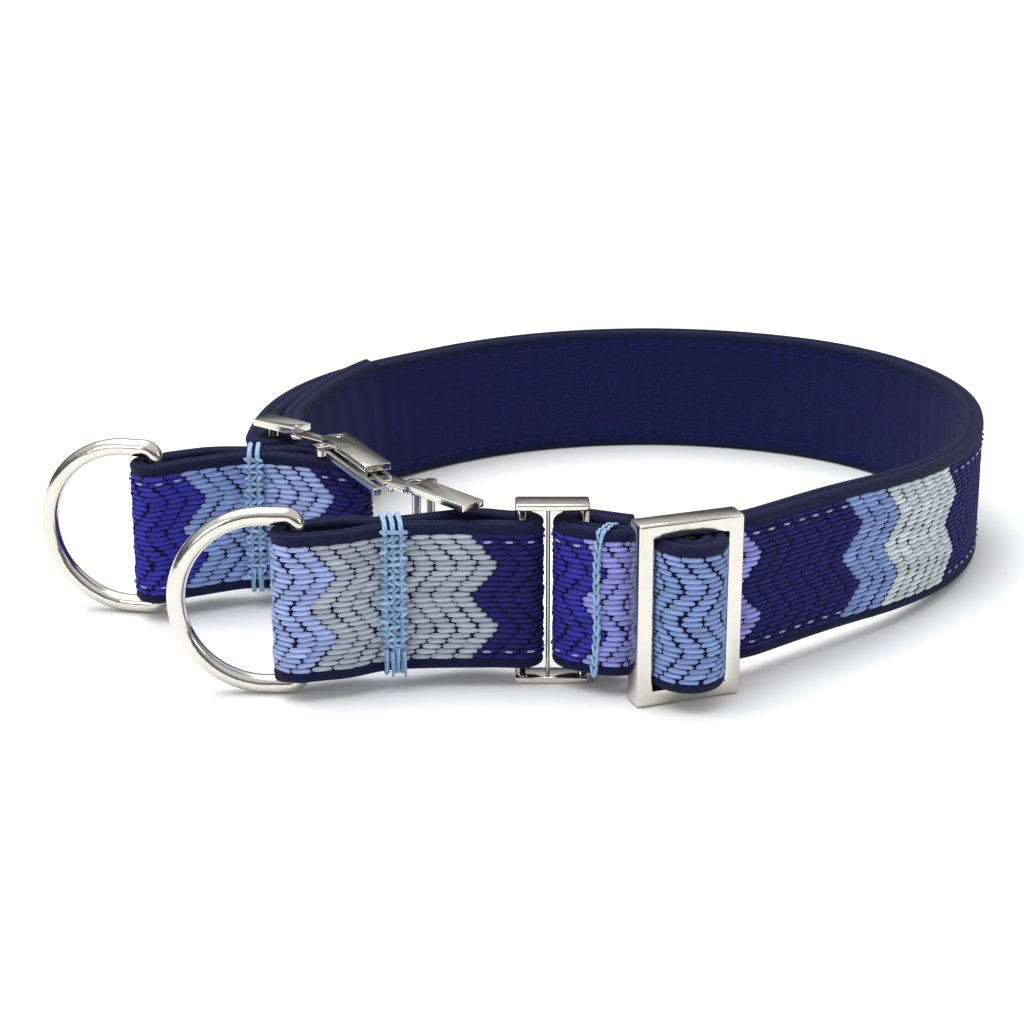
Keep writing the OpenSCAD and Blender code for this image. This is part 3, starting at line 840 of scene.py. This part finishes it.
def strap(name, node, course, top, thick, face_t, body, zones, dashes=(), start=0.0, end=None):
    """One strap's lining, rolled bindings, canvas and stitches. node is how its CAD nodes' names begin, top
    the offset of its outer side, and start and end the stitched stretch, which is all of it by default."""
    s = bpy.context.scene.collar_strap
    low, high = s.binding_h - 0.3, s.strap_h - s.binding_h + 0.3
    seam, share = top - face_t, min(1, thick / s.strap_t)
    lining = swept(name + "_lining", course, sheet_profile(top - thick, seam, low, high, 10),
                   lambda d, o, h: creased(d, h) * share if o < seam - 0.01 else 0)
    new_object(name + "_lining", lining, body, "lining", node + "_lining")
    rolls = [swept("roll", course, rolled_profile(top - thick / 2, thick, s.binding_h, upper))
             for upper in (False, True)]
    new_object(name + "_binding", joined(name + "_binding", rolls), body, "binding", node + "_binding")
    canvas = swept(name + "_canvas", course.part(0, end + 1) if end else course,
                   sheet_profile(seam, top - CANVAS_DIP, low, high, 6))
    new_object(name + "_canvas", canvas, body, "canvas", node + "_face")
    sewing = Sewing()
    needlepoint(sewing, course, top - STITCH_SINK, zones, dashes, start, end)
    sewing.sew(name + "_stitches", body, "canvas", node + "_face")
    return low, high


class COLLAR_OT_neck_strap(bpy.types.Operator):
    """Make the neck strap: canvas, stitches, lining, folded-back end and rolled bindings"""
    bl_idname = "collar.neck_strap"
    bl_label = "Neck Strap"

    def execute(self, context):
        s, zones = context.scene.collar_strap, thread_zones()
        course, half = neck_course(), s.strap_t / 2
        low, high = strap("neck", "band", course, half, s.strap_t, half, "neck_strap", zones["neck"],
                          zones["dashes"], 5, CANVAS_END - 1)
        folded = swept("neck_folded_end", course.part(CANVAS_END - 1, course.total),
                       sheet_profile(0, half, low, high, 18), pleated)
        new_object("neck_folded_end", folded, "neck_strap", "lining", "band_face")
        tacks, edge = Sewing(), s.binding_h + 1.1
        running_stitch(tacks, course, -half - 0.02, (edge, s.strap_h - edge),
                       toned(context.scene.collar_colour.lining, 2.6), 24, BACK_TO)
        tacks.sew("neck_lining_tacks", "neck_strap", "lining")
        return {"FINISHED"}


class COLLAR_OT_arch(bpy.types.Operator):
    """Make the stretch of strap that arches over the slide's bar"""
    bl_idname = "collar.arch"
    bl_label = "Strap Arch"

    def execute(self, context):
        s = context.scene.collar_strap
        low, _ = strap("arch", "bulge", arch_course(), 0, s.bulge_t + 0.8, ARCH_FACE_T, "adjuster",
                       thread_zones()["arch"])
        roll = laid([2.2 * direction(a) + (0, 0.3) for a in range(0, 360, 12)], SLIDE_TURN, SLIDE)
        inner = swept("arch_inner_roll", Course(roll, True), sheet_profile(-0.95, 0, low, s.strap_h - 0.6, 8))
        new_object("arch_inner_roll", inner, "adjuster", "binding", "bulge_lining")
        return {"FINISHED"}


class COLLAR_OT_tabs(bpy.types.Operator):
    """Make both ring tabs: canvas, stitches, lining and rolled bindings"""
    bl_idname = "collar.tabs"
    bl_label = "Ring Tabs"

    def execute(self, context):
        zones, thick = thread_zones(), context.scene.collar_strap.tab_t
        for side, tab in TABS.items():
            name = side + "_tab"
            strap(name, name, tab.course(), 0, thick, TAB_FACE_T, name, zones[side], zones["dashes"])
        return {"FINISHED"}


def wrap_path(tab, x, middle, low, high):
    """A strand's way round a tab: over the top edge, down the face, under the bottom edge and half way up the
    back."""
    r, points = 1.3, []
    for side, z, start in ((1, high - r, 0), (-1, high - r, 90), (-1, low + r, 180), (1, low + r, 270)):
        for a in range(start, start + 91, 15):
            u = direction(a)
            points.append((x, middle + side * (tab.reach - r) + r * u[0], z + r * u[1]))
    points.append((x, middle + tab.reach, (low + high) / 2))
    return [(*q, p[2]) for p, q in zip(points, tab.laid([p[:2] for p in points]))]


class COLLAR_OT_floss(bpy.types.Operator):
    """Bind both tabs with floss: strands over the edges, a sewn column on the face and loose ends"""
    bl_idname = "collar.floss"
    bl_label = "Floss Bindings"

    def execute(self, context):
        s, colour = context.scene.collar_strap, context.scene.collar_colour.floss
        pick, rows, steps = random.Random(11), 21, 4
        for side, tab in TABS.items():
            name = side + "_floss"
            middle, x0 = 4 * tab.bow * tab.pinch * (1 - tab.pinch), -tab.length * tab.pinch
            meshes = []
            for x in tab.strands:
                path = wrap_path(tab, x0 + x + pick.uniform(-0.1, 0.1), middle, s.strap_z - 0.35,
                                 s.strap_z + s.strap_h + 0.4)
                meshes.append(tube(path, 0.44))
            for k in range(tab.tails):
                x = x0 + (k - (tab.tails - 1) / 2) * 0.95
                lean, z = pick.uniform(-0.5, 0.5), s.strap_z + 4.2 + pick.uniform(-0.5, 0.8)
                flat = tab.laid([(x + lean * t, middle - tab.reach - 0.75 - 0.25 * math.sin(3 * t))
                                 for t in (i / steps for i in range(steps + 1))])
                meshes.append(tube([(*p, z - 4.4 * i / steps) for i, p in enumerate(flat)], 0.42, 0.55))
            mesh = tinted(joined(name + "_strands", meshes), colour)
            new_object(name + "_strands", mesh, side + "_tab", "floss", name, material="thread")
            sewing, way = Sewing(), direction(tab.turn)
            for x in tab.columns:
                for k in range(rows):
                    z = s.strap_z + 2.6 + (s.strap_h - 3.4) * k / (rows - 1)
                    p = tab.laid([(x0 + x + pick.uniform(-0.12, 0.12), middle - tab.reach - 0.42)])[0]
                    sewing.add((*p, z), (*way, 0.55 if k % 2 else -0.45), (way[1], -way[0], 0),
                               toned(colour, pick.uniform(0.62, 1.12)), (pick.uniform(0.34, 0.5), 0.72, 1.0),
                               pick.uniform(-0.3, 0.3))
            sewing.sew(name + "_column", side + "_tab", "floss", name)
        return {"FINISHED"}


class COLLAR_OT_chain_cord(bpy.types.Operator):
    """Sew the chain-stitch cord over the loop beside the slide"""
    bl_idname = "collar.chain_cord"
    bl_label = "Chain Stitch Cord"

    def execute(self, context):
        s, colour = context.scene.collar_strap, context.scene.collar_colour.floss
        course, half, sewing, pick = neck_course(), s.strap_t / 2, Sewing(), random.Random(5)

        def spot(d, offset):
            """The place, way and outward side at a distance along the strap."""
            p, way, out = (np.array([np.interp(d, course.distance, rows[:, i]) for i in (0, 1)])
                           for rows in (course.points, course.way, course.out))
            return p + out * offset, way, out

        links, hooks = 14, 5
        for k in range(links):
            rise = k / (links - 1)
            p, way, out = spot(20.9 + 0.3 * math.sin(5 * rise) + 0.9 * rise ** 3, half + 0.32)
            z = s.strap_z + 1.0 + (s.strap_h - 1.9) * rise
            for lean in (-0.2, 0.2):
                sewing.add((*(p + way * lean * 1.5), z), (*(way * lean), 1), (*out, 0),
                           toned(colour, pick.uniform(0.8, 1.12)), (0.66, 0.66, 1.3))
        for k in range(hooks):
            share = k / (hooks - 1)
            p, way, out = spot(21.7 + 0.35 * k, half + 0.2 - share * (s.strap_t + 0.2))
            z = s.strap_z + s.strap_h + 0.5 * math.sin(math.pi * share)
            for lean in (-0.45, 0.45):
                sewing.add((*(p + way * lean), z), (*-out, 0.4 - 0.8 * share), (0, 0, 1),
                           speckled(colour, pick, 0.9, 1.1), (0.44, 0.6, 0.9))
        sewing.sew("chain_cord", "neck_strap", "floss", "chain_stitch_cord")
        return {"FINISHED"}


# ---------------------------------------------------------------- hardware

# How much the edges of each plate are broken, in millimetres; the round pieces need none
EDGES = {"slide_frame": 0.5, "front_connector_rails": 0.34, "rear_connector_rails": 0.34, "clasp_foot": 0.3,
         "hinge_plates": 0.16, "clasp_channel": 0.12, "clasp_tongue": 0.14, "clasp_lever": 0.14,
         "front_link_rails": 0.34, "tongue_foot": 0.12}
PINS = ("slide_bar", "knuckle_pins", "clasp_pins", "lever_rivet", "tongue_stud", "front_connector_pin")


def polished(node, body, slot, edge):
    """A merged copy of a metal node, with its edges broken where edge is above nothing."""
    bm = bmesh.new()
    bm.from_mesh(frame["nodes"][node].data)
    bmesh.ops.remove_doubles(bm, verts=bm.verts, dist=2e-6)
    if edge:
        bmesh.ops.dissolve_limit(bm, angle_limit=math.radians(1.0), verts=bm.verts, edges=bm.edges)
    bmesh.ops.recalc_face_normals(bm, faces=bm.faces)
    mesh = kept(node, bm)
    if edge:
        rough = placed(node + "_rough", mesh)
        cut = rough.modifiers.new("Edge", "BEVEL")
        cut.width, cut.segments, cut.limit_method, cut.angle_limit = edge * MM, 3, "ANGLE", math.radians(40)
        cut.use_clamp_overlap = True
        mesh = made_plain(rough)
    mesh.name = node + "_metal"
    mesh.shade_smooth()
    mesh.set_sharp_from_angle(angle=math.radians(38))
    return new_object(node + "_metal", mesh, body, slot, node)


class COLLAR_OT_hardware(bpy.types.Operator):
    """Make all the metal: slide, rings, connectors, hinge plates, clasp, lever, tongue and link"""
    bl_idname = "collar.hardware"
    bl_label = "Metal Hardware"

    def execute(self, context):
        record = frame["record"]
        metal = {part["node"] for part in record["subparts"] if part["material_slot"].startswith("nickel")}
        for body, nodes in record["behaviour"]["bodies"].items():
            for node in nodes:
                if node in metal:
                    polished(node, body, "nickel_pin" if node in PINS else "nickel", EDGES.get(node, 0))
        return {"FINISHED"}


# ---------------------------------------------------------------- stage

class COLLAR_OT_stage(bpy.types.Operator):
    """Set the pale floor, the soft lights and the camera"""
    bl_idname = "collar.stage"
    bl_label = "Stage"

    def execute(self, context):
        scene, s = context.scene, context.scene.collar_stage
        scene.view_settings.view_transform = "Standard"
        mesh = bpy.data.meshes.new("studio_floor")
        mesh.from_pydata([(-3, -3, 0), (3, -3, 0), (3, 3, 0), (-3, 3, 0)], [], [(0, 1, 2, 3)])
        mesh.materials.append(finish("floor"))
        floor = placed("studio_floor", mesh)
        floor.location.z = -0.0001
        world = bpy.data.worlds.new("pale_surround")
        scene.world = world
        world.use_nodes = True
        tree = world.node_tree
        back = tree.nodes["Background"]
        look = new_node(tree, "ShaderNodeTexCoord", {}, {})
        split = new_node(tree, "ShaderNodeSeparateXYZ", {}, {0: look.outputs["Generated"]})
        ramp = new_node(tree, "ShaderNodeValToRGB", {}, {0: split.outputs["Z"]})
        for stop, (place, level) in zip(ramp.color_ramp.elements, ((0.2, 0.12), (0.62, 1.0))):
            stop.position, stop.color = place, (level, level, level, 1)
        tree.links.new(ramp.outputs[0], back.inputs["Color"])
        back.inputs["Strength"].default_value = s.sky
        for name, place, size, power in (("overhead", (-0.25, -0.2, 0.75), 0.5, s.key),
                                         ("front_left", (-0.6, -0.7, 0.35), 0.35, s.key * 0.55),
                                         ("right_side", (0.7, -0.3, 0.3), 0.25, s.key * 0.3)):
            light = bpy.data.lights.new(name, "AREA")
            light.size, light.energy = size, power
            lamp = placed(name, light)
            lamp.location = place
            lamp.rotation_euler = (Vector((0, 0, 0.01)) - Vector(place)).to_track_quat("-Z", "Y").to_euler()
        light = bpy.data.lights.new("wide_overhead", "SUN")
        light.energy, light.angle = s.sun, math.radians(50)
        lamp = placed("wide_overhead", light)
        lamp.rotation_euler = Vector((-0.25, 0.3, 1)).to_track_quat("Z", "Y").to_euler()
        eye = bpy.data.cameras.new("camera")
        eye.lens, eye.sensor_width = s.lens, 36
        eye.clip_start = 0.01
        camera = placed("camera", eye)
        camera.location, camera.rotation_euler = s.place, (s.tilt, 0, 0)
        scene.camera = camera
        return {"FINISHED"}


class COLLAR_PT_pieces(bpy.types.Panel):
    """Lists the collar's pieces and their settings"""
    bl_label = "Martingale Collar"
    bl_idname = "COLLAR_PT_pieces"
    bl_space_type = "VIEW_3D"
    bl_region_type = "UI"
    bl_category = "Collar"

    def draw(self, context):
        for group in ("collar_strap", "collar_stitch", "collar_colour", "collar_stage"):
            box = self.layout.box()
            settings = getattr(context.scene, group)
            for key in settings.__annotations__:
                box.prop(settings, key)
        for operator in OPERATORS:
            self.layout.operator(operator.bl_idname)


GROUPS = {"collar_strap": COLLAR_PG_strap, "collar_stitch": COLLAR_PG_stitch,
          "collar_colour": COLLAR_PG_colour, "collar_stage": COLLAR_PG_stage}
OPERATORS = (COLLAR_OT_stage, COLLAR_OT_neck_strap, COLLAR_OT_arch, COLLAR_OT_tabs, COLLAR_OT_floss,
             COLLAR_OT_chain_cord, COLLAR_OT_hardware)


def register():
    """Makes the settings, operators and panel known."""
    for made in (*GROUPS.values(), *OPERATORS, COLLAR_PT_pieces):
        bpy.utils.register_class(made)
    for name, group in GROUPS.items():
        setattr(bpy.types.Scene, name, PointerProperty(type=group))


def unregister():
    """Takes them away again."""
    for name in GROUPS:
        delattr(bpy.types.Scene, name)
    for made in reversed((*GROUPS.values(), *OPERATORS, COLLAR_PT_pieces)):
        bpy.utils.unregister_class(made)


def main():
    """Runs every operator in turn."""
    register()
    for operator in OPERATORS:
        group, name = operator.bl_idname.split(".")
        if getattr(getattr(bpy.ops, group), name)() != {"FINISHED"}:
            raise RuntimeError("this piece was not made: " + operator.bl_label)


if __name__ == "__main__":
    main()
